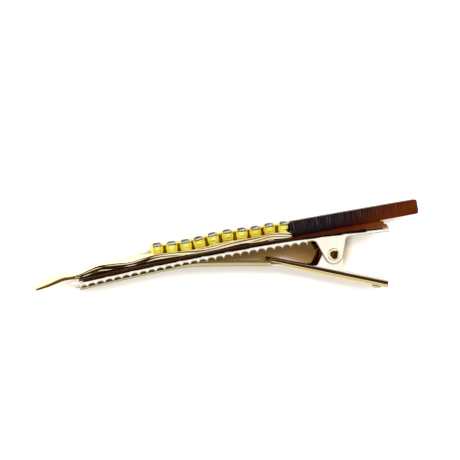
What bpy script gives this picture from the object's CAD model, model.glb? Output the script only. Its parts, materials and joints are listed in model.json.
import json
import math

import bmesh
import bpy
from mathutils import Matrix, Vector, noise


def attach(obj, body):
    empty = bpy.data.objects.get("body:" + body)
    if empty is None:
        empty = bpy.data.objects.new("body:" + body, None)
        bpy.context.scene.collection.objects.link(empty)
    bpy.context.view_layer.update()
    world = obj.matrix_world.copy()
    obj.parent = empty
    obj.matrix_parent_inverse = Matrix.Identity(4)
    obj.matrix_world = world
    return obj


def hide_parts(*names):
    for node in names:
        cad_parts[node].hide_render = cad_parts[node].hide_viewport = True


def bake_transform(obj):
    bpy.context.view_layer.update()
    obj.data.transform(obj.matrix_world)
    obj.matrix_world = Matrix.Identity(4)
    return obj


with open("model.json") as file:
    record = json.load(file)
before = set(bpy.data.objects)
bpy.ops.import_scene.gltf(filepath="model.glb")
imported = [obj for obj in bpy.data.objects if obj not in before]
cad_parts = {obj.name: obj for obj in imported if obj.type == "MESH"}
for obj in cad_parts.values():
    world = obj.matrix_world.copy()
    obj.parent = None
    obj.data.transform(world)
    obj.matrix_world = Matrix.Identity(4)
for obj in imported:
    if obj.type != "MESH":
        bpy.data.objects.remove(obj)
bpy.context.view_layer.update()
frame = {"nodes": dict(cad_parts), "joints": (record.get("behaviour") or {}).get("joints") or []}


# Upper jaw: one stamped steel channel, bowed along its length, both flanges scalloped into teeth
# and folded out into two ears and a thumb tab. Plated pale gold after pressing and polished outside,
# dull brown inside; the faint lengthwise lines are left from rolling the strip.
RIVET = Vector(frame["joints"][0]["pos_m"])
PLATE_TONES = (1.0, 0.99, 0.94), (1.0, 0.95, 0.76)
INSIDE_TONES = (0.24, 0.12, 0.03), (0.14, 0.065, 0.014)
EVEN, ROLLED = (1, 1, 1), (60, 1400, 1400)
CLOUD_SIZE, SPECK_SIZE = 260, 900
TINT_SPREAD, LINE_SPREAD, LINE_STRENGTH, ROUND_SAMPLES = (0.35, 0.7), (0.3, 0.75), 0.6, 6
TOOTH_ROUND = 0.36
ACROSS_MIDDLE = 0.0034, 0.0054
TURNED = 0.3, 0.6
ROOF_START = -3, -4


def at(along, up, across):
    """Point for side-view millimetres from the rivet: to the handles, to the ornament, across."""
    return RIVET + Vector((-along, -up, across)) / 1000


def add(tree, kind, settings=None, **sockets):
    node = tree.nodes.new("ShaderNode" + kind)
    for key, value in (settings or {}).items():
        setattr(node, key, value)
    for key, value in sockets.items():
        socket = node.inputs[key.replace("_", " ")]
        if isinstance(value, bpy.types.NodeSocket):
            tree.links.new(value, socket)
        else:
            socket.default_value = value
    return node


def new_finish(name):
    finish = bpy.data.materials.new(name)
    finish.use_nodes = True
    tree = finish.node_tree
    return finish, tree, tree.nodes["Principled BSDF"]


def stretched_noise(tree, scale, size, detail=3.0):
    where = add(tree, "TexCoord").outputs["Object"]
    turned = add(tree, "Mapping", Vector=where, Scale=scale)
    return add(tree, "TexNoise", Vector=turned.outputs[0], Scale=size, Detail=detail).outputs["Fac"]


def ramp(tree, value, start, end, low=0.0, high=1.0):
    """Goes evenly from low to high while the value goes from start to end."""
    limits = {"From_Min": start, "From_Max": end, "To_Min": low, "To_Max": high}
    return add(tree, "MapRange", Value=value, **limits).outputs[0]


def calc(tree, operation, *values):
    node = add(tree, "Math", {"operation": operation})
    for value, socket in zip(values, node.inputs):
        tree.links.new(value, socket)
    return node.outputs[0]


def product(tree, one, two):
    return calc(tree, "MULTIPLY", one, two)


def mix_colours(tree, share, first, second):
    """Mixes two colours, each a fixed one or a node's output."""
    mix = add(tree, "Mix", {"data_type": "RGBA"})
    tree.links.new(share, mix.inputs[0])
    for colour, socket in ((first, mix.inputs[6]), (second, mix.inputs[7])):
        if isinstance(colour, bpy.types.NodeSocket):
            tree.links.new(colour, socket)
        else:
            socket.default_value = (*colour, 1)
    return mix.outputs[2]


def colour_over(finish, share, colour):
    tree = finish.node_tree
    socket = tree.nodes["Principled BSDF"].inputs["Base Color"]
    tree.links.new(mix_colours(tree, share, socket.links[0].from_socket, colour), socket)


def gold_finish(name, tones, rough=(0.06, 0.16), line_height=0.004, edge=0.0):
    """Plated metal with rolled lines; line height and rounding of the edges are in millimetres."""
    finish, tree, shader = new_finish(name)
    cloud = stretched_noise(tree, EVEN, CLOUD_SIZE)
    lines = stretched_noise(tree, ROLLED, 1.0)
    tint = ramp(tree, cloud, *TINT_SPREAD)
    tree.links.new(mix_colours(tree, tint, *tones), shader.inputs["Base Color"])
    tree.links.new(ramp(tree, lines, *LINE_SPREAD, *rough), shader.inputs["Roughness"])
    bump = add(tree, "Bump", Height=lines, Distance=line_height / 1000, Strength=LINE_STRENGTH)
    if edge:
        rounded = add(tree, "Bevel", {"samples": ROUND_SAMPLES}, Radius=edge / 1000)
        tree.links.new(rounded.outputs[0], bump.inputs["Normal"])
    tree.links.new(bump.outputs[0], shader.inputs["Normal"])
    shader.inputs["Metallic"].default_value = 1
    return finish


def dress(node, finish):
    piece = frame["nodes"][node]
    piece.data.materials.clear()
    piece.data.materials.append(finish)


def own_axes(tree):
    """Place and facing of a spot in the piece's own axes."""
    own = add(tree, "TexCoord").outputs
    return [add(tree, "SeparateXYZ", Vector=own[name]).outputs for name in ("Object", "Normal")]


def along_from(tree, place, start, end):
    """Rises from 0 to 1 between two distances along the clip, in millimetres from the rivet."""
    return ramp(tree, place["X"], at(start, 0, 0).x, at(end, 0, 0).x)


def inner_walls(tree, place, facing):
    """1 on walls that face the middle of the clip's width."""
    inward = ramp(tree, place["Z"], *ACROSS_MIDDLE, 1.0, -1.0)
    return ramp(tree, product(tree, inward, facing["Z"]), *TURNED)


def toothed_plate():
    finish = gold_finish("pale_gold_plate", PLATE_TONES, edge=TOOTH_ROUND)
    tree = finish.node_tree
    place, facing = own_axes(tree)
    roof = product(tree, ramp(tree, facing["Y"], *TURNED), along_from(tree, place, *ROOF_START))
    dull = mix_colours(tree, stretched_noise(tree, EVEN, SPECK_SIZE), *INSIDE_TONES)
    colour_over(finish, inner_walls(tree, place, facing), dull)
    colour_over(finish, roof, dull)
    return finish


dress("upper_jaw", toothed_plate())


# Lower jaw: a second stamping of the same plated steel, a springy leaf that lies along the teeth,
# an elbow, and a straight channel handle with two inner ears and a pressed finger bead. The leaf's
# sheared edges are left satin, the handle's folds are rubbed, and the inside is tarnished brown.
SHEET, HANDLE_TILT, HANDLE_UNDER = 0.4, math.radians(22.4), -4.75
LEAF_ROUND, LEAF_GRAIN = 0.2, (500, 2600, 2600)
LEAF_START, EAR_START, HANDLE_START = (-12.7, -13.6), (-5, -4.6), (4, 5)
EARS_BACK, EARS_FRONT = (3, 2.6), (-8, -7)
FOLD_START, FOLD_LINE, FOLD_END = (0.14, 0.24), (0.49, 0.52), (0.55, 0.59)
EDGE_TURN, UNDER_TURN, UPPER_TURN = (0.5, 0.8), (0.05, 0.5), (-0.5, -0.8)
BEAD_LOW, BEAD_HIGH = 0.024, 0.094
GRIME_REACH, GRIME_SAMPLES, GRIME_SHARE = 0.6, 8, (0.8, 0.5)
BURNISHED = (0.44, 0.34, 0.18), (0.34, 0.25, 0.12)
BRIGHT = (1.0, 0.97, 0.86), (1.0, 0.93, 0.7)
RUBBED = (0.56, 0.43, 0.17), (0.46, 0.34, 0.12)
BEAD_TONES = (0.92, 0.82, 0.48), (0.82, 0.7, 0.36)
GRIME = (0.2, 0.13, 0.05), (0.12, 0.08, 0.03)
SATIN = (0.68, 0.57, 0.3), (0.54, 0.44, 0.2)
OLIVE = (0.36, 0.27, 0.1), (0.26, 0.19, 0.07)
TARNISH = (0.4, 0.18, 0.03), (0.26, 0.1, 0.016)


def with_vector(tree, operation, vector, fixed):
    node = add(tree, "VectorMath", {"operation": operation})
    tree.links.new(vector, node.inputs[0])
    node.inputs[1].default_value = fixed
    return node.outputs


def finger_bead(tree):
    """1 where the surface stands out from the flat underside of the handle."""
    outward = Vector((math.sin(HANDLE_TILT), math.cos(HANDLE_TILT), 0))
    flat = RIVET.dot(outward) - HANDLE_UNDER / 1000
    depth = with_vector(tree, "DOT_PRODUCT", add(tree, "TexCoord").outputs["Object"], outward)
    return ramp(tree, depth["Value"], flat + BEAD_LOW / 1000, flat + BEAD_HIGH / 1000)


def leaf_plate():
    finish = gold_finish("lower_jaw_plate", PLATE_TONES, edge=LEAF_ROUND)
    tree = finish.node_tree
    place, facing = own_axes(tree)
    grain = stretched_noise(tree, LEAF_GRAIN, 1.0)
    leaf = along_from(tree, place, *LEAF_START)
    sheared = product(tree, leaf, ramp(tree, calc(tree, "ABSOLUTE", facing["Z"]), *EDGE_TURN))
    round_edge = add(tree, "SeparateXYZ", Vector=tree.nodes["Bevel"].outputs[0]).outputs["Y"]
    sheared_low = product(tree, sheared, ramp(tree, round_edge, *UNDER_TURN))
    upper_face = product(tree, ramp(tree, facing["Y"], *UPPER_TURN), leaf)
    ears = product(tree, along_from(tree, place, *EARS_BACK), along_from(tree, place, *EARS_FRONT))
    ear_walls = product(tree, inner_walls(tree, place, facing), ears)
    bead = product(tree, finger_bead(tree), along_from(tree, place, *HANDLE_START))
    reach = GRIME_REACH / 1000
    open_to_room = add(tree, "AmbientOcclusion", {"samples": GRIME_SAMPLES}, Distance=reach)
    corners = ramp(tree, open_to_room.outputs["AO"], *GRIME_SHARE)
    grimy = product(tree, corners, along_from(tree, place, *EAR_START))
    folds = [(ramp(tree, facing["Y"], *limits), tones)
             for limits, tones in ((FOLD_START, BURNISHED), (FOLD_LINE, BRIGHT), (FOLD_END, RUBBED))]
    for share, tones in folds + [(bead, BEAD_TONES), (grimy, GRIME), (sheared, SATIN), (sheared_low, OLIVE),
                                 (upper_face, TARNISH), (ear_walls, TARNISH)]:
        colour_over(finish, share, mix_colours(tree, grain, *tones))
    return finish


dress("lower_jaw", leaf_plate())


# Hinge rivet: a plated steel tube pushed through all four ears, its ends rolled over into round heads.
# The bore stays open and shows the darker inside of the tube.
RIVET_TONES = (1.0, 0.96, 0.8), (1.0, 0.9, 0.62)
BORE_TONES = (0.26, 0.14, 0.045), (0.18, 0.09, 0.025)
BORE_EDGE = 0.00086, 0.00074
RIVET_ROUGH, RIVET_ROUND = (0.06, 0.12), 0.08


def rivet_plate():
    finish = gold_finish("rolled_rivet_plate", RIVET_TONES, rough=RIVET_ROUGH, edge=RIVET_ROUND)
    tree = finish.node_tree
    flat = with_vector(tree, "MULTIPLY", add(tree, "TexCoord").outputs["Object"], (1, 1, 0))
    radius = with_vector(tree, "DISTANCE", flat["Vector"], (RIVET.x, RIVET.y, 0))
    dull = mix_colours(tree, stretched_noise(tree, EVEN, SPECK_SIZE), *BORE_TONES)
    colour_over(finish, ramp(tree, radius["Value"], *BORE_EDGE), dull)
    return finish


dress("hinge_rivet", rivet_plate())


# Strip spring: a flat strip of unplated, browned spring steel bent to a C in front of the rivet, one leg
# under each handle. It is held only by its own push, and it closes up as the handles are squeezed.
BOW_RADIUS, BOW_TOP = 490.0, (-27.5, 5.02)
SPRING_WIDTH, SPRING_THICK, SPRING_MIDDLE, LEG_START = 3.2, 0.35, 2.46, 2.7
SPRING_ROUND, SPRING_GAP, BEND_STEPS, ROUND_STEPS = 0.1, 0.02, 48, 3
TOP_LEG, LOW_LEG = (2.55, 2.4, 1.6, 0.8), (0.8, 1.6, 2.4, 2.95)
SPRING_TONES, SPRING_ROUGH = ((0.42, 0.16, 0.02), (0.26, 0.08, 0.008)), (0.45, 0.62)
SPRING_GRAIN, SPRING_GRAIN_SIZE = (300, 300, 20), 6.0
CORNERS = (1, 1), (-1, 1), (-1, -1), (1, -1)
SHARP_ANGLE = math.radians(42)


def new_piece(name, mesh_maker, finish, body):
    shape = bmesh.new()
    mesh_maker(shape)
    bmesh.ops.recalc_face_normals(shape, faces=shape.faces)
    mesh = bpy.data.meshes.new(name)
    shape.to_mesh(mesh)
    shape.free()
    mesh.set_sharp_from_angle(angle=SHARP_ANGLE)
    piece = bpy.data.objects.new(name, mesh)
    bpy.context.scene.collection.objects.link(piece)
    for one in finish if isinstance(finish, list) else [finish]:
        mesh.materials.append(one)
    if body:
        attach(piece, body)
    return piece


def skin_rings(shape, rings):
    """Joins rings of side-view points into one smooth closed skin with a fan at each end.

    A fourth value in the points is kept as the vertex attribute saw_rib.
    """
    mark = shape.verts.layers.float.new("saw_rib") if len(rings[0][0]) == 4 else None
    made = [[shape.verts.new(at(*p[:3])) for p in ring] for ring in rings]
    count = len(made[0])
    if mark:
        for verts, ring in zip(made, rings):
            for v, p in zip(verts, ring):
                v[mark] = p[3]
    faces = []
    for a, b in zip(made, made[1:]):
        for k in range(count):
            faces.append(shape.faces.new((a[k], a[(k + 1) % count], b[(k + 1) % count], b[k])))
    for ring in (made[0], made[-1]):
        middle = shape.verts.new(sum((v.co for v in ring), Vector()) / count)
        for k in range(count):
            faces.append(shape.faces.new((ring[k], ring[(k + 1) % count], middle)))
    for face in faces:
        face.smooth = True


def plate_top(along):
    return BOW_TOP[1] - BOW_RADIUS + math.sqrt(BOW_RADIUS ** 2 - (along - BOW_TOP[0]) ** 2)


def strip_spring(shape):
    lean = math.asin((LEG_START - BOW_TOP[0]) / BOW_RADIUS)
    under = (plate_top(LEG_START) - SHEET) * math.cos(lean)
    height = ((under - SPRING_MIDDLE * math.sin(HANDLE_TILT) + HANDLE_UNDER + SHEET)
              / (math.cos(lean) + math.cos(HANDLE_TILT)))
    radius = under - height * math.cos(lean) - SPRING_GAP
    first, last = math.pi / 2 - lean, 1.5 * math.pi - HANDLE_TILT
    middle = Vector((SPRING_MIDDLE, height))
    line = []
    for i in range(BEND_STEPS + 1):
        a = first + (last - first) * i / BEND_STEPS
        outward = Vector((math.cos(a), math.sin(a)))
        line.append((middle + outward * (radius - SPRING_THICK / 2), outward))
    leg_top = Vector((math.cos(lean), -math.sin(lean)))
    leg_low = Vector((math.cos(HANDLE_TILT), -math.sin(HANDLE_TILT)))
    top = [(line[0][0] + leg_top * d, line[0][1]) for d in TOP_LEG]
    low = [(line[-1][0] + leg_low * d, line[-1][1]) for d in LOW_LEG]
    rings = []
    for place, outward in top + line + low:
        ring = []
        for side, edge in CORNERS:
            for step in range(ROUND_STEPS + 1):
                a = math.pi / 2 * (step / ROUND_STEPS - 0.5) + math.atan2(edge, side)
                across = side * (SPRING_WIDTH / 2 - SPRING_ROUND) + SPRING_ROUND * math.cos(a)
                out = edge * (SPRING_THICK / 2 - SPRING_ROUND) + SPRING_ROUND * math.sin(a)
                ring.append((*(place + outward * out), across))
        rings.append(ring)
    skin_rings(shape, rings)


def spring_steel():
    finish, tree, shader = new_finish("bare_spring_steel")
    lines = stretched_noise(tree, SPRING_GRAIN, SPRING_GRAIN_SIZE)
    tree.links.new(mix_colours(tree, lines, *SPRING_TONES), shader.inputs["Base Color"])
    tree.links.new(ramp(tree, lines, 0.0, 1.0, *SPRING_ROUGH), shader.inputs["Roughness"])
    shader.inputs["Metallic"].default_value = 1
    return finish


spring = new_piece("strip_spring_bent", strip_spring, spring_steel(), None)
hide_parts("strip_spring")
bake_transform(spring)


# Backing strip: a thin strip of dark tortoiseshell acetate glued along the top plate, sawn edges left
# matt, thicker and straight under the bar and amber where less of the dark layer is left.
BACKING_TONES = [  # millimetres along from the rivet, colour
    (-54, (0.045, 0.014, 0.002)), (-30, (0.04, 0.009, 0.001)), (-12, (0.03, 0.004, 0.001)),
    (-4, (0.05, 0.009, 0.002)), (3, (0.08, 0.012, 0.002)), (7, (0.13, 0.02, 0.002)),
    (12, (0.2, 0.044, 0.004))]
MOTTLE, MOTTLE_DETAIL, MOTTLE_SPREAD, MOTTLE_SHIFT = (130, 420, 420), 4.0, (0.25, 0.75), 0.05
WORN_SPREAD, POLISHED = (0.3, 0.7), 0.7


def colour_steps(tree, share, steps):
    node = add(tree, "ValToRGB", Fac=share)
    stops = node.color_ramp.elements
    for i, (spot, colour) in enumerate(steps):
        stop = stops[0] if i == 0 else stops[-1] if i == len(steps) - 1 else stops.new(spot)
        stop.position = spot
        stop.color = (*colour, 1)
    return node.outputs[0]


def shell_finish(name, tones, slant, gloss, rough):
    """Layered acetate with tones along the strip, shifted by the slant times the height above the rivet."""
    finish, tree, shader = new_finish(name)
    where = add(tree, "TexCoord").outputs["Object"]
    place = with_vector(tree, "DOT_PRODUCT", where, (-1000, slant * 1000, 0))
    mottle = stretched_noise(tree, MOTTLE, 1.0, MOTTLE_DETAIL)
    first, last = tones[0][0], tones[-1][0]
    offset = 1000 * RIVET.x - slant * 1000 * RIVET.y
    along = ramp(tree, place["Value"], first - offset, last - offset)
    shift = ramp(tree, mottle, *MOTTLE_SPREAD, -MOTTLE_SHIFT, MOTTLE_SHIFT)
    spots = [((x - first) / (last - first), colour) for x, colour in tones]
    layers = colour_steps(tree, calc(tree, "ADD", along, shift), spots)
    tree.links.new(layers, shader.inputs["Base Color"])
    worn = ramp(tree, mottle, *WORN_SPREAD, rough * POLISHED, rough)
    tree.links.new(worn, shader.inputs["Roughness"])
    shader.inputs["Specular IOR Level"].default_value = gloss
    return finish


dress("backing_strip", shell_finish("backing_shell", BACKING_TONES, slant=0.0, gloss=0.06, rough=0.5))


# Tortoiseshell bar: a slim bar of layered acetate, nearly black at the branch end and amber at the free
# end. Sawn from sheet, so both sides keep fine saw ribs, worn off towards the glued underside.
BAR_START, BAR_LENGTH, BAR_WIDTH, BAR_THICK = -7.3, 27.8, 3.0, 3.1
BAR_MIDDLE, BAR_TILT = (4.0, 4.99), math.radians(-0.6)
BAR_START_ROUND, BAR_END_ROUND, BAR_EDGE, BAR_BREAK, BAR_TIP = 0.2, 0.7, 0.3, 0.1, 0.12
BAR_NOSE = BAR_WIDTH / 2 - BAR_BREAK
START_STATIONS, STATION_STEP, NOSE_STEPS = [0.0, 0.03, 0.08, 0.14, 0.2], 0.06, 26
CORNER_STEPS, SIDE_STEPS = 5, 10
RIB_PITCH, RIB_DEPTH, RIB_LEAN, RIB_WANDER = 0.56, 0.045, 0.06, 0.3
RIB_LOW, RIB_FADE, RIB_TOP, RIB_TOP_LOSS, SIDE_BAND = 0.18, 0.5, 0.9, 0.6, 0.05
BAR_TONES = [  # millimetres along from the rivet, colour
    (-25, (0.011, 0.006, 0.008)), (-12, (0.011, 0.004, 0.006)), (-7, (0.026, 0.004, 0.002)),
    (-2, (0.08, 0.01, 0.001)), (4, (0.13, 0.02, 0.001)), (14, (0.095, 0.01, 0.001))]
SAWN_TONES, SAWN_AMBER = ((0.11, 0.09, 0.1), (0.2, 0.055, 0.02)), (3, 13)


def clamp(value, low=0.0, high=1.0):
    return min(max(value, low), high)


def bar_outline(low, high, half):
    """Rounded rectangle of height and across values, with extra points down both sides."""
    r = min(BAR_EDGE, (high - low) / 2.5, half * 0.8)
    outline = []
    for sy, sz in CORNERS:
        centre = high - r if sy > 0 else low + r
        turn = range(CORNER_STEPS + 1)
        for k in turn if (sy > 0) == (sz > 0) else reversed(turn):
            a = math.pi / 2 * k / CORNER_STEPS
            outline.append((centre + sy * r * math.cos(a), sz * (half - r + r * math.sin(a))))
        if sy * sz < 0:
            continue
        first, last = outline[-1], (low + r if sy > 0 else high - r)
        for k in range(1, SIDE_STEPS):
            outline.append((first[0] + (last - first[0]) * k / SIDE_STEPS, first[1]))
    return outline


def bar_ring(s):
    """Section at a distance along the bar, with the saw ribs cut into its sides."""
    left, right = max(0.0, BAR_START_ROUND - s), s - (BAR_LENGTH - BAR_END_ROUND)
    pull = BAR_START_ROUND - math.sqrt(max(BAR_START_ROUND ** 2 - left ** 2, 0))
    if right > 0:
        pull = BAR_END_ROUND - math.sqrt(max(BAR_END_ROUND ** 2 - right ** 2, 0))
    low, high = pull, BAR_THICK - pull
    half = BAR_WIDTH / 2 - min(pull, BAR_BREAK)
    past = s - (BAR_LENGTH - BAR_NOSE)
    if past > 0:
        half = BAR_WIDTH / 2 - BAR_NOSE + math.sqrt(max(BAR_NOSE ** 2 - past ** 2, 0.0))
    half = max(half, BAR_TIP)
    ring = []
    for up, across in bar_outline(low, high, half):
        share = clamp((up - low) / max(high - low, 1e-6))
        fade = clamp((share - RIB_LOW) / RIB_FADE)
        fade *= 1 - RIB_TOP_LOSS * max(0, share - RIB_TOP) / (1 - RIB_TOP)
        wander = noise.noise(Vector((s * 0.9, up * 0.5, 3.0))) * RIB_WANDER
        wave = 0.5 + 0.5 * math.cos(2 * math.pi * (s + wander + up * RIB_LEAN) / RIB_PITCH)
        uneven = clamp(0.55 + 0.9 * noise.noise(Vector((s * 1.1, 7.0, up * 0.2))), 0.1)
        side = 1 if abs(across) > half - SIDE_BAND else 0
        across -= math.copysign(RIB_DEPTH * fade * uneven * (1 - wave) * side, across)
        x, y = BAR_START - BAR_MIDDLE[0] + s, up
        ring.append((BAR_MIDDLE[0] + x * math.cos(BAR_TILT) - y * math.sin(BAR_TILT),
                     BAR_MIDDLE[1] + x * math.sin(BAR_TILT) + y * math.cos(BAR_TILT), across,
                     wave ** 5 * fade * uneven * side))
    return ring


def ribbed_bar(shape):
    stations = list(START_STATIONS)
    while stations[-1] < BAR_LENGTH - BAR_NOSE:
        stations.append(stations[-1] + STATION_STEP)
    for i in range(1, NOSE_STEPS + 1):
        stations.append(BAR_LENGTH - BAR_NOSE + BAR_NOSE * math.sin(math.pi / 2 * i / NOSE_STEPS))
    skin_rings(shape, [bar_ring(s) for s in stations])


def bar_finish():
    finish = shell_finish("bar_shell", BAR_TONES, slant=2.1, gloss=0.05, rough=0.4)
    tree = finish.node_tree
    rib = add(tree, "Attribute", {"attribute_name": "saw_rib"}).outputs["Fac"]
    place, _ = own_axes(tree)
    sawn = mix_colours(tree, along_from(tree, place, *SAWN_AMBER), *SAWN_TONES)
    colour_over(finish, rib, sawn)
    return finish


bar = new_piece("tortoise_bar_ribbed", ribbed_bar, bar_finish(), "upper")
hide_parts("tortoise_bar")


# Glue bed: clear amber adhesive that fills the wedge between the thumb tab and the straight end of the
# backing. What was squeezed out has set as a round bead past the backing's end.
GLUE_TONES, GLUE_CLOUD, GLUE_ROUGH, GLUE_CLEAR = ((0.5, 0.14, 0.02), (0.3, 0.06, 0.008)), 700, 0.12, 0.35


def glue_finish():
    finish, tree, shader = new_finish("amber_glue")
    cloud = stretched_noise(tree, EVEN, GLUE_CLOUD)
    tree.links.new(mix_colours(tree, cloud, *GLUE_TONES), shader.inputs["Base Color"])
    shader.inputs["Roughness"].default_value = GLUE_ROUGH
    shader.inputs["Transmission Weight"].default_value = GLUE_CLEAR
    return finish


dress("glue_bed", glue_finish())


# Gold branch: a cast, twisted ribbon like a bare twig, soldered to the cup row and glued on the backing.
# Its near edge lies low, its far edge is lifted, and fine lengthwise flutes run along its near side.
BACKING_THICK = 0.35
BRANCH_STATIONS = [  # along, underside and top of the near edge, half width, lift of the far edge
    (-61.9, -0.46, 0.12, 0.6, 0.7), (-60.6, -0.48, 0.36, 1.3, 1), (-58.7, -0.36, 0.66, 1.7, 1),
    (-57, -0.13, 1.02, 1.9, 0.85), (-55.5, 0.1, 1.2, 2, 0.75), (-53.4, 0.08, 0.97, 2.1, 0.5),
    (-51.8, 0.02, 1.06, 2.2, 0.35), (-50.2, 0.02, 1.45, 2.3, 0.3), (-48, 0.2, 1.82, 2.4, 0.05),
    (-46.3, 0.2, 1.7, 2.4, 0.05), (-44, 0.1, 1.42, 2.4, 0.25), (-41.6, 0.03, 1.12, 2.3, 0.6),
    (-39.5, 0.1, 1.3, 2.4, 0.4), (-36.9, 0.3, 1.55, 2.5, 0.15), (-34, 0.3, 1.35, 2.6, 0.1),
    (-31, 0.2, 1.12, 2.6, 0.1), (-28, 0.04, 0.95, 2.6, 0.3), (-24.5, 0.03, 1.08, 2.6, 0.7),
    (-21.5, 0.12, 1.25, 2.6, 0.65), (-18.2, 0.35, 1.2, 2.5, 0.45), (-15.5, 0.12, 1.22, 2.4, 0.15),
    (-11.5, 0.03, 1.4, 2.4, 0.1), (-8.2, 0.03, 1.2, 2.3, 0), (-7.1, 0.08, 0.5, 1.5, 0)]
BRANCH_RINGS, NEAR_STEPS, UNDER_STEPS, FAR_STEPS, TOP_STEPS = 460, 30, 6, 8, 16
TIP_TAPER, END_TAPER = 0.6, 0.5
TIP_START, TIP_FADE, ROW_START, ROW_FADE = -51.5, 2.5, -41, 8
NEAR_CORNER, NEAR_FLAT, FAR_CORNER, FAR_FLAT = 0.09, 0.85, 0.1, 0.7
GROOVE_DEPTH, TIP_SWELL, TWIG_SWELL, SIDE_SLANT, TIP_SLANT = 0.06, 0.045, 0.026, 0.42, 0.06
STRAND_DEPTH, ROW_STRAND_DEPTH, STRAND_RATE, TOP_WAVE, TOP_WAVES = 0.035, 0.03, 2.0, 0.02, 9
BRANCH_TONES, BRANCH_ROUGH, BRANCH_LINES = ((1.0, 0.91, 0.62), (0.92, 0.76, 0.4)), (0.05, 0.14), 0.006


def backing_top(along):
    return plate_top(along) + BACKING_THICK


def branch_at(along, column):
    """Smooth curve through one column of the branch's stations."""
    rows = BRANCH_STATIONS
    i = max(k for k in range(len(rows) - 1) if k == 0 or rows[k][0] <= along)

    def slope(k):
        a, b = rows[max(k - 1, 0)], rows[min(k + 1, len(rows) - 1)]
        return (b[column] - a[column]) / (b[0] - a[0])

    h = rows[i + 1][0] - rows[i][0]
    t = (along - rows[i][0]) / h
    return ((2 * t ** 3 - 3 * t * t + 1) * rows[i][column] + (t ** 3 - 2 * t * t + t) * h * slope(i)
            + (3 * t * t - 2 * t ** 3) * rows[i + 1][column] + (t ** 3 - t * t) * h * slope(i + 1))


def rounding(q, flat):
    """0 on the flat middle of a side, rising in a quarter round to 1 at both of its ends."""
    return 1 - math.sqrt(max(1 - (max(abs(2 * q - 1) - flat, 0) / (1 - flat)) ** 2, 0))


def near_inset(x, q, tall, under_row, drift):
    """How far in the near side lies at a share q of the way down: corners, strands, swells and slant."""
    tip = clamp((TIP_START - x) / TIP_FADE)
    corner = NEAR_CORNER * tall * rounding(q, NEAR_FLAT)
    groove = GROOVE_DEPTH * math.sin(math.pi * q) ** 1.3
    swell = TIP_SWELL * tip * math.sin(2 * math.pi * q)
    swell += TWIG_SWELL * (1 - tip) * math.sin(4 * math.pi * q + drift)
    swell *= tall * (1 - under_row)
    crest = 1 - abs(math.sin(math.pi * (STRAND_RATE * tall * q + drift)))
    strand = (STRAND_DEPTH + ROW_STRAND_DEPTH * under_row) * (1 - tip) * crest * math.sin(math.pi * q) ** 0.3
    slant = (SIDE_SLANT + TIP_SLANT * tip) * tall * q
    return corner + strand + swell + under_row * groove + (1 - under_row) * slant


def branch_ring(x):
    start, end = BRANCH_STATIONS[0][0], BRANCH_STATIONS[-1][0]
    low, high, half, lift = (branch_at(x, column) for column in (1, 2, 3, 4))
    taper = min(1.0, (x - start) / TIP_TAPER, (end - x) / END_TAPER)
    taper = math.sqrt(max(1 - (1 - taper) ** 2, 0.02))
    middle, tall, half = (low + high) / 2, (high - low) * taper, half * taper
    under_row = clamp((x - ROW_START) / ROW_FADE)
    under_row = under_row * under_row * (3 - 2 * under_row)
    drift = 0.5 * math.sin(x * 0.33) + 0.4 * noise.noise(Vector((x * 0.22, 2.0, 5.0)))

    def place(up, across):
        raised = lift * (0.5 - across / max(half, 0.1) / 2)
        return (x, backing_top(x) + middle + up * tall + raised, across)

    ring = []
    for k in range(NEAR_STEPS + 1):
        q = k / NEAR_STEPS
        ring.append(place(0.5 - q, half - min(near_inset(x, q, tall, under_row, drift), half * 0.6)))
    first, bottom = ring[0][2], ring[-1][2]
    for k in range(1, UNDER_STEPS):
        ring.append(place(-0.5, bottom + (-half + FAR_CORNER - bottom) * k / UNDER_STEPS))
    for k in range(FAR_STEPS + 1):
        q = k / FAR_STEPS
        ring.append(place(q - 0.5, -half + FAR_CORNER * rounding(q, FAR_FLAT)))
    for k in range(1, TOP_STEPS):
        t = k / TOP_STEPS
        wave = TOP_WAVE * taper ** 4 * math.sin(TOP_WAVES * math.pi * t + drift * 3) * math.sin(math.pi * t)
        ring.append(place(0.5 + wave / max(tall, 0.2), -half + (first + half) * t))
    return ring


def fluted_branch(shape):
    start, end = BRANCH_STATIONS[0][0], BRANCH_STATIONS[-1][0]
    places = [start + (end - start) * i / BRANCH_RINGS for i in range(BRANCH_RINGS + 1)]
    skin_rings(shape, [branch_ring(x) for x in places])


cast_gold = gold_finish("cast_branch_gold", BRANCH_TONES, BRANCH_ROUGH, BRANCH_LINES)
branch = new_piece("gold_branch_fluted", fluted_branch, cast_gold, "upper")
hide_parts("gold_branch")


# Crystal cups: ten thin pressed cups of yellow gilt brass with a round foot, each rim cut down between
# four claws that curl over the crystal. The row is soldered to the branch and leans to the open side.
CUP_COUNT, CUP_PITCH, CUP_START, CUP_LEAN, CUP_SINK = 10, 2.97, -35.7, math.radians(4), 0.15
FOOT_REACH, ROW_END = 1.5, -8
CUP_RADIUS, CUP_WALL, FOOT_ROUND, RIM_LOW, CLAW_RISE = 1.36, 0.12, 0.34, 1.45, 0.62
CUP_BELLY, CLAW_CURL, SEAT_RADIUS, SEAT_HEIGHT, RIM_ROUND = 0.065, 0.16, 0.5, 0.6, 0.04
CLAW_ANGLES, CLAW_HALF, CLAW_SLOPE = (20, 160, 200, 340), 40, 26
CUP_COLUMNS, FOOT_STEPS, WALL_STEPS, LINED_FROM = 80, 6, 12, 9
CUP_TONES, CUP_ROUGH, CUP_LINES = ((1.0, 0.97, 0.2), (0.88, 0.72, 0.08)), (0.05, 0.18), 0.007
FLUX_TONES, FLUX_TURN, FLUX_SPECKS = ((0.42, 0.2, 0.015), (0.26, 0.11, 0.01)), (0.9, 1.0), 1500


def branch_top(along):
    return backing_top(along) + branch_at(along, 2) + branch_at(along, 4) / 2


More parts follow.
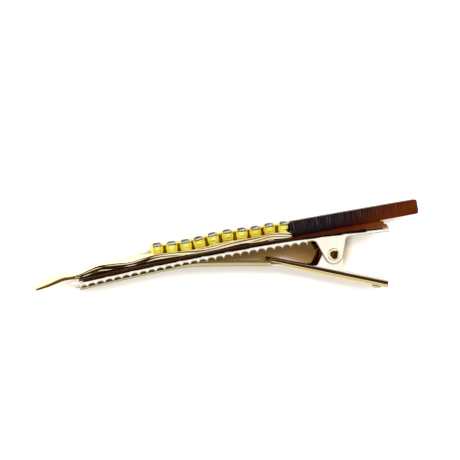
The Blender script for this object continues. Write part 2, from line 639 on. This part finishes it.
def cup_axes(number):
    """Foot of a cup in side-view millimetres and the turn of its own axes, its height along the third."""
    along = CUP_START + CUP_PITCH * (number - 1)
    after, before = branch_top(min(along + FOOT_REACH, ROW_END)), branch_top(along - FOOT_REACH)
    slope = math.atan((after - before) / (2 * FOOT_REACH))
    base = Vector((along, branch_top(along) - CUP_SINK, 0))
    lean = Matrix.Rotation(CUP_LEAN, 3, "X")
    return base, lean @ Matrix.Rotation(slope, 3, "Z") @ Matrix.Rotation(-math.pi / 2, 3, "X")


def cup_vert(shape, axes, radius, angle, height):
    base, turn = axes
    spot = Vector((radius * math.cos(angle), radius * math.sin(angle), height))
    return shape.verts.new(at(*(base + turn @ spot)))


def cup_radius(height):
    if height < FOOT_ROUND:
        return CUP_RADIUS - FOOT_ROUND + math.sqrt(FOOT_ROUND ** 2 - (FOOT_ROUND - height) ** 2)
    if height < RIM_LOW:
        return CUP_RADIUS + CUP_BELLY * math.sin(math.pi * (height - FOOT_ROUND) / (RIM_LOW - FOOT_ROUND))
    return CUP_RADIUS - CLAW_CURL * ((height - RIM_LOW) / CLAW_RISE) ** 2


def cup_profile(angle):
    """Radius and height of the cup's wall at an angle in degrees, up the outside and down the inside."""
    off = min(abs((angle - claw + 180) % 360 - 180) for claw in CLAW_ANGLES)
    claw = clamp((CLAW_HALF - off) / CLAW_SLOPE)
    rim = RIM_LOW + CLAW_RISE * claw * claw * (3 - 2 * claw)
    heights = [FOOT_ROUND * (1 - math.cos(math.pi / 2 * i / FOOT_STEPS)) for i in range(FOOT_STEPS + 1)]
    heights += [FOOT_ROUND + (rim - FOOT_ROUND) * i / WALL_STEPS for i in range(1, WALL_STEPS + 1)]
    outer = [(cup_radius(h), h) for h in heights]
    top = (cup_radius(rim) - CUP_WALL / 2, rim + RIM_ROUND)
    inner = [(cup_radius(h) - CUP_WALL, h) for h in heights[:LINED_FROM:-1]]
    return [(SEAT_RADIUS, 0.0)] + outer + [top] + inner + [(SEAT_RADIUS, SEAT_HEIGHT)]


def claw_cup(number):
    axes = cup_axes(number)

    def build(shape):
        columns = []
        for k in range(CUP_COLUMNS):
            angle = 360 * k / CUP_COLUMNS
            columns.append([cup_vert(shape, axes, r, math.radians(angle), h) for r, h in cup_profile(angle)])
        rows = len(columns[0])
        faces = []
        for one, two in zip(columns, columns[1:] + columns[:1]):
            faces += [shape.faces.new((one[i], two[i], two[i + 1], one[i + 1])) for i in range(rows - 1)]
        for row in (0, rows - 1):
            faces.append(shape.faces.new([column[row] for column in columns]))
        for face in faces:
            face.smooth = True

    return build


def cup_finish():
    finish = gold_finish("cup_gilt", CUP_TONES, CUP_ROUGH, CUP_LINES)
    tree = finish.node_tree
    _, facing = own_axes(tree)
    joint = ramp(tree, calc(tree, "ABSOLUTE", facing["X"]), *FLUX_TURN)
    colour_over(finish, joint, mix_colours(tree, stretched_noise(tree, EVEN, FLUX_SPECKS), *FLUX_TONES))
    return finish


cup_gold = cup_finish()
for number in range(1, CUP_COUNT + 1):
    cup = new_piece(f"claw_cup_{number:02d}", claw_cup(number), cup_gold, "upper")
    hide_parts(f"cup_{number:02d}")


# Crystals: ten round foil-backed brilliants. The crown is clear glass with a table, stars, kites and
# girdle facets, the pavilion under it carries silver foil.
GIRDLE_RADIUS, TABLE_RADIUS, GIRDLE_HEIGHT, TABLE_HEIGHT, POINT_HEIGHT = 1.2, 0.74, 1.76, 2.3, 0.8
STAR_RADIUS, STAR_SHARE, GIRDLE_HALF, SPIN_STEP = 1.0, 0.55, 0.04, 11
FACETS = 8
GLASS_TONES = (0.88, 0.88, 0.9), (0.72, 0.73, 0.77)
FOIL_TONES = (0.6, 0.6, 0.64), (0.38, 0.38, 0.43)


def clouded(name, tones, settings):
    finish, tree, shader = new_finish(name)
    cloud = stretched_noise(tree, EVEN, SPECK_SIZE)
    tree.links.new(mix_colours(tree, cloud, *tones), shader.inputs["Base Color"])
    for socket, value in settings.items():
        shader.inputs[socket].default_value = value
    return finish


def brilliant(number):
    axes = cup_axes(number)
    spin = math.radians(SPIN_STEP * number)

    def build(shape):
        def ring(radius, height, step, count=FACETS):
            turns = [spin + math.pi * (2 * k + step) / count for k in range(count)]
            return [cup_vert(shape, axes, radius, turn, height) for turn in turns]

        rise = TABLE_HEIGHT - GIRDLE_HEIGHT
        table = ring(TABLE_RADIUS, TABLE_HEIGHT, 0)
        stars = ring(STAR_RADIUS, GIRDLE_HEIGHT + STAR_SHARE * rise, 1)
        girdle = ring(GIRDLE_RADIUS, GIRDLE_HEIGHT + GIRDLE_HALF, 0, 2 * FACETS)
        under = ring(GIRDLE_RADIUS, GIRDLE_HEIGHT - GIRDLE_HALF, 0, 2 * FACETS)
        point = cup_vert(shape, axes, 0, 0, POINT_HEIGHT)
        shape.faces.new(table)
        for k in range(FACETS):
            after = (k + 1) % FACETS
            shape.faces.new((table[k], table[after], stars[k]))
            shape.faces.new((stars[k], table[after], stars[after], girdle[2 * after]))
            shape.faces.new((stars[k], girdle[2 * k], girdle[2 * k + 1]))
            shape.faces.new((stars[k], girdle[2 * k + 1], girdle[2 * after]))
        for k in range(2 * FACETS):
            after = (k + 1) % (2 * FACETS)
            shape.faces.new((girdle[k], girdle[after], under[after], under[k]))
            shape.faces.new((under[k], under[after], point)).material_index = 1

    return build


crystal = [clouded("crystal_crown", GLASS_TONES, {"Roughness": 0.01, "IOR": 1.58, "Transmission Weight": 1}),
           clouded("silver_foil", FOIL_TONES, {"Metallic": 1, "Roughness": 0.08})]
for number in range(1, CUP_COUNT + 1):
    stone = new_piece(f"crystal_{number:02d}", brilliant(number), crystal, "upper")
    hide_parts(f"stone_{number:02d}")


# Links: the short waisted bars that hold the cups in a row, pressed with them as one chain. They show only
# in the gaps, where solder flux has left the gilt dark and dull.
LINK_HALF, LINK_LOW, LINK_HIGH, LINK_WAIST = 0.34, -0.1, 1.5, 0.2
LINK_FROM, LINK_REACH, LINK_STEPS, LINK_SIDES = 0.3, 0.4, 8, 16
LINK_WIDE_FLAT, LINK_TALL_FLAT = 1.3, 1.1
LINK_TONES, LINK_ROUGH, LINK_LINES = ((0.2, 0.09, 0.012), (0.09, 0.035, 0.005)), (0.3, 0.5), 0.003


def waisted_link(number):
    (start, turn), (end, _) = cup_axes(number), cup_axes(number + 1)

    def build(shape):
        rings = []
        for i in range(LINK_STEPS + 1):
            t = LINK_FROM + LINK_REACH * i / LINK_STEPS
            waist = 1 - LINK_WAIST * math.sin(math.pi * i / LINK_STEPS)
            ring = []
            for k in range(LINK_SIDES):
                a = 2 * math.pi * (k + 0.5) / LINK_SIDES
                across = LINK_HALF * waist * clamp(LINK_WIDE_FLAT * math.cos(a), -1)
                rise = (LINK_HIGH - LINK_LOW) / 2 * clamp(LINK_TALL_FLAT * math.sin(a), -1)
                up = (LINK_LOW + LINK_HIGH) / 2 + rise
                ring.append(start.lerp(end, t) + turn @ Vector((0, across, up)))
            rings.append(ring)
        skin_rings(shape, rings)

    return build


link_gold = gold_finish("flux_dark_gilt", LINK_TONES, LINK_ROUGH, LINK_LINES)
for number in range(1, CUP_COUNT):
    link = new_piece(f"chain_link_{number}", waisted_link(number), link_gold, "upper")
    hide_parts(f"link_{number}")


# Table, light and camera: a plain white table that glows a little and darkens where the clip encloses it,
# a pale ceiling with darker walls, one soft lamp from the ornament's side, and the camera where the
# photograph was taken from.
TABLE_REACH, SHADE_REACH, SHADE_SAMPLES = 2.0, 0.01, 64
TABLE_GLOW = [  # share of the room that a spot is open to, colour
    (0.0, (0.2, 0.1, 0.026)), (0.1, (0.08, 0.042, 0.011)), (0.38, (0.07, 0.038, 0.01)),
    (0.48, (0.56, 0.54, 0.5)), (0.6, (0.56, 0.55, 0.53)), (0.7, (0.78, 0.78, 0.77)),
    (0.8, (0.84, 0.84, 0.84))]
TABLE_PAPER = [(0.38, (0.45, 0.27, 0.1)), (0.48, (0.8, 0.75, 0.64))]


def white_table():
    finish = bpy.data.materials.new("white_table")
    finish.use_nodes = True
    tree = finish.node_tree
    tree.nodes.clear()
    seen = add(tree, "LightPath").outputs
    either = calc(tree, "MAXIMUM", seen["Is Camera Ray"], seen["Is Glossy Ray"])
    direct = calc(tree, "MAXIMUM", either, seen["Is Transmission Ray"])
    enclosed = add(tree, "AmbientOcclusion", {"samples": SHADE_SAMPLES}, Distance=SHADE_REACH)
    open_to_room = enclosed.outputs["AO"]
    glow = add(tree, "Emission", Color=colour_steps(tree, open_to_room, TABLE_GLOW), Strength=direct)
    paper = add(tree, "BsdfDiffuse", Color=colour_steps(tree, open_to_room, TABLE_PAPER))
    both = add(tree, "AddShader")
    tree.links.new(paper.outputs[0], both.inputs[0])
    tree.links.new(glow.outputs[0], both.inputs[1])
    out = add(tree, "OutputMaterial")
    tree.links.new(both.outputs[0], out.inputs["Surface"])
    return finish


mesh = bpy.data.meshes.new("table")
corners = [(x * TABLE_REACH, y * TABLE_REACH, 0) for x, y in ((-1, -1), (1, -1), (1, 1), (-1, 1))]
mesh.from_pydata(corners, [], [(0, 1, 2, 3)])
mesh.materials.append(white_table())
floor = bpy.data.objects.new("table", mesh)
bpy.context.scene.collection.objects.link(floor)

WALL_COLOUR, CEILING_COLOUR = (0.11, 0.06, 0.02), (1.0, 0.99, 0.97)
FRONT_EDGE, BACK_EDGE, LOW_EDGE, END_FADE = (0.24, 0.48), (-0.75, -0.6), (0.9, 0.95), (0.3, 0.95)
END_LEVEL, DIFFUSE_LEVEL = 0.72, 0.5
room = bpy.data.worlds.new("pale_room")
bpy.context.scene.world = room
room.use_nodes = True
tree = room.node_tree
way = add(tree, "SeparateXYZ", Vector=add(tree, "TexCoord").outputs["Generated"]).outputs
front = ramp(tree, way["Y"], *FRONT_EDGE, 1.0, 0.0)
overhead = product(tree, front, ramp(tree, way["Y"], *BACK_EDGE))
ends = ramp(tree, calc(tree, "ABSOLUTE", way["X"]), *END_FADE, 1.0, END_LEVEL)
low = ramp(tree, way["Y"], *LOW_EDGE)
ceiling = calc(tree, "ADD", product(tree, overhead, ends), low)
level = ramp(tree, add(tree, "LightPath").outputs["Is Diffuse Ray"], 0.0, 1.0, 1.0, DIFFUSE_LEVEL)
sky = tree.nodes["Background"]
tree.links.new(level, sky.inputs["Strength"])
tree.links.new(mix_colours(tree, ceiling, WALL_COLOUR, CEILING_COLOUR), sky.inputs["Color"])

LAMP_LONG, LAMP_SHORT, LAMP_WATTS, LAMP_SPOT = 0.5, 0.14, 2.8, (-0.08, -0.2, 0.58)
lamp_data = bpy.data.lights.new("window", "AREA")
lamp_data.shape, lamp_data.size, lamp_data.size_y = "RECTANGLE", LAMP_LONG, LAMP_SHORT
lamp_data.energy = LAMP_WATTS
lamp = bpy.data.objects.new("window", lamp_data)
bpy.context.scene.collection.objects.link(lamp)
lamp.location = LAMP_SPOT
lamp.rotation_euler = (-Vector(lamp.location)).to_track_quat("-Z", "Y").to_euler()
lamp.visible_glossy = False

SENSOR_WIDTH, FOCAL_PIXELS, PICTURE_PIXELS = 36, 956, 460
CAMERA_SPOT = at(-42.063, 23.368, 197.874)
CAMERA_TURNS = (169.7, "Z"), (-7, "Y"), (-3, "X")
photo_camera = bpy.data.cameras.new("photo_camera")
photo_camera.sensor_width = SENSOR_WIDTH
photo_camera.lens = SENSOR_WIDTH * FOCAL_PIXELS / PICTURE_PIXELS
photo_camera.clip_start = 0.01
camera = bpy.data.objects.new("photo_camera", photo_camera)
bpy.context.scene.collection.objects.link(camera)
stand = Matrix.Translation(CAMERA_SPOT)
for degrees, axis in CAMERA_TURNS:
    stand = stand @ Matrix.Rotation(math.radians(degrees), 4, axis)
camera.matrix_world = stand
bpy.context.scene.camera = camera
bpy.context.scene.view_settings.view_transform = "Standard"

bpy.context.view_layer.update()
